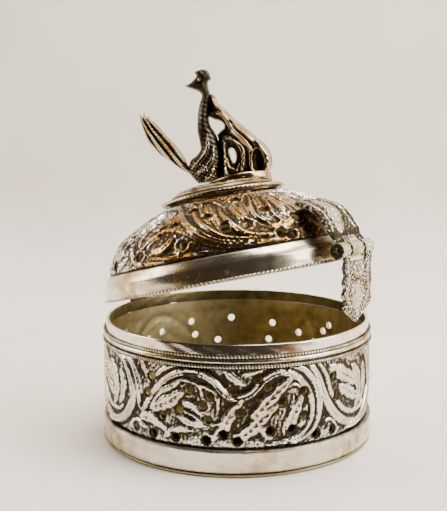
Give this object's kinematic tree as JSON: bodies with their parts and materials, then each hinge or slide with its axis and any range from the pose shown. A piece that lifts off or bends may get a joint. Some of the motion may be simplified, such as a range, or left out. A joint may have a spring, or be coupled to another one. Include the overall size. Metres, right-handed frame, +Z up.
{
  "type": "hinged incense censer",
  "caption": "Small round silver censer: pierced drum base with an ember pan, hinged pierced domed lid with a bird finial, and a hanging hasp.",
  "frame": {"origin": "middle of the underside of the base, on the surface it stands on", "axes": "+Z up; -Y towards the front, where the hasp hangs; +Y towards the lid's hinge"},
  "size_m": [0.0838, 0.091, 0.1126],
  "materials": {
    "plain_silver": "polished silver, fine scratches",
    "chased_silver": "chased relief, bright crests and oxidised ground",
    "warm_silver": "polished, warm tarnish",
    "dark_cast_silver": "cast, dark tarnish, worn edges",
    "hasp_silver": "stamped scale texture, oxidised ground",
    "olive_silver": "satin, olive tarnish",
    "pin_metal": "drawn wire, dull"
  },
  "bodies": {
    "base": {"base_floor": "plain_silver", "base_wall": "chased_silver", "foot_band": "plain_silver", "hinge_leaf_base": "hasp_silver", "hinge_pin": "pin_metal", "lower_bead": "plain_silver", "rim_band": "plain_silver", "step_band": "plain_silver", "upper_bead": "plain_silver"},
    "lid": {"bird_back_plume": "dark_cast_silver", "bird_body": "dark_cast_silver", "bird_tail_feathers": "dark_cast_silver", "finial_nut": "pin_metal", "finial_seat": "warm_silver", "finial_stud": "pin_metal", "finial_washer": "pin_metal", "hasp_pin": "pin_metal", "hasp_strap": "hasp_silver", "hinge_leaf_lid": "hasp_silver", "lid_cap": "warm_silver", "lid_dome": "chased_silver", "lid_rim_band": "plain_silver", "lid_rope_wire": "plain_silver", "shoulder_ring": "plain_silver"},
    "hasp": {"hasp_leaf": "hasp_silver"},
    "ember_pan": {"ember_pan": "olive_silver"}
  },
  "joints": [
    {"name": "lid_hinge", "type": "hinge", "parent": "base", "child": "lid", "pos_m": [0, 0.0424, 0.0446], "axis": [-1, 0, 0], "range_deg": [-14.2, 85.8]},
    {"name": "hasp_swing", "type": "hinge", "parent": "lid", "child": "hasp", "pos_m": [0, -0.04462, 0.06187], "axis": [-1, 0, 0], "range_deg": [0, 120]},
    {"name": "pan_lift", "type": "slide", "parent": "base", "child": "ember_pan", "axis": [0, 0, 1], "range_m": [0, 0.022]}
  ]
}
